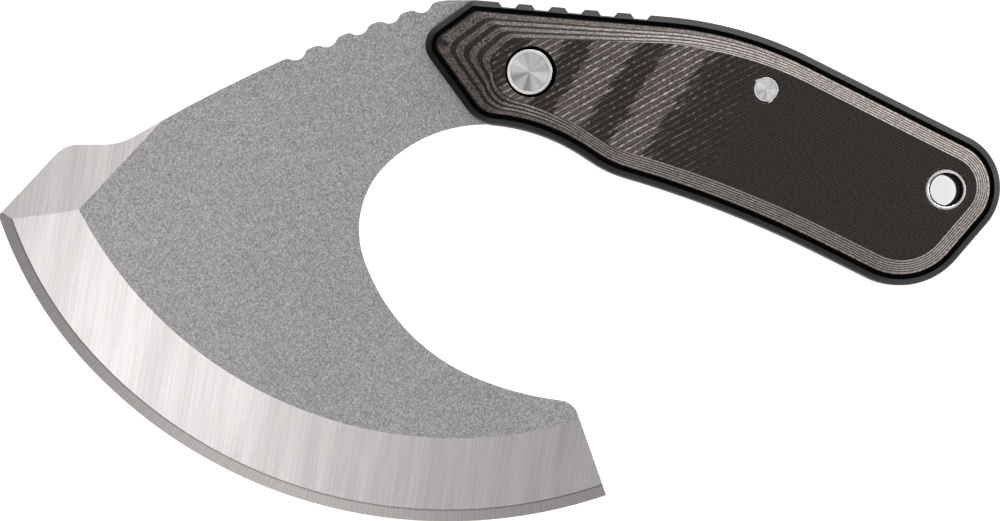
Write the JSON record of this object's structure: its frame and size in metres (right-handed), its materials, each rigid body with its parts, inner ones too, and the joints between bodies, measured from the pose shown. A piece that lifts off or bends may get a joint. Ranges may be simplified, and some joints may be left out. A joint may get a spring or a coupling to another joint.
{
  "type": "ulu knife",
  "caption": "Fixed-blade ulu knife with a broad curved edge, an open finger space behind the blade, a rubber grip with inlaid laminate scales and a lanyard hole.",
  "frame": {"origin": "middle of the knife's box in plan, on the plane of the right scale's flat face, which the knife lies on", "axes": "+X toward the butt of the grip, +Y toward the spine of the blade, +Z out of the left face of the knife"},
  "size_m": [0.2, 0.1042, 0.02],
  "materials": {
    "blade_steel": "blasted flats with satin ground bevels",
    "grip_rubber": "fine moulded matt",
    "scale_laminate": "machined layered glass laminate, black and grey plies",
    "fastener_steel": "turned bright faces"
  },
  "bodies": {
    "root": {"blade": "blade_steel", "grip_overmould": "grip_rubber", "left_scale": "scale_laminate", "right_scale": "scale_laminate", "front_rivet_barrel": "fastener_steel", "front_rivet_post": "fastener_steel", "rear_pin": "fastener_steel", "lanyard_tube": "fastener_steel"}
  },
  "joints": []
}
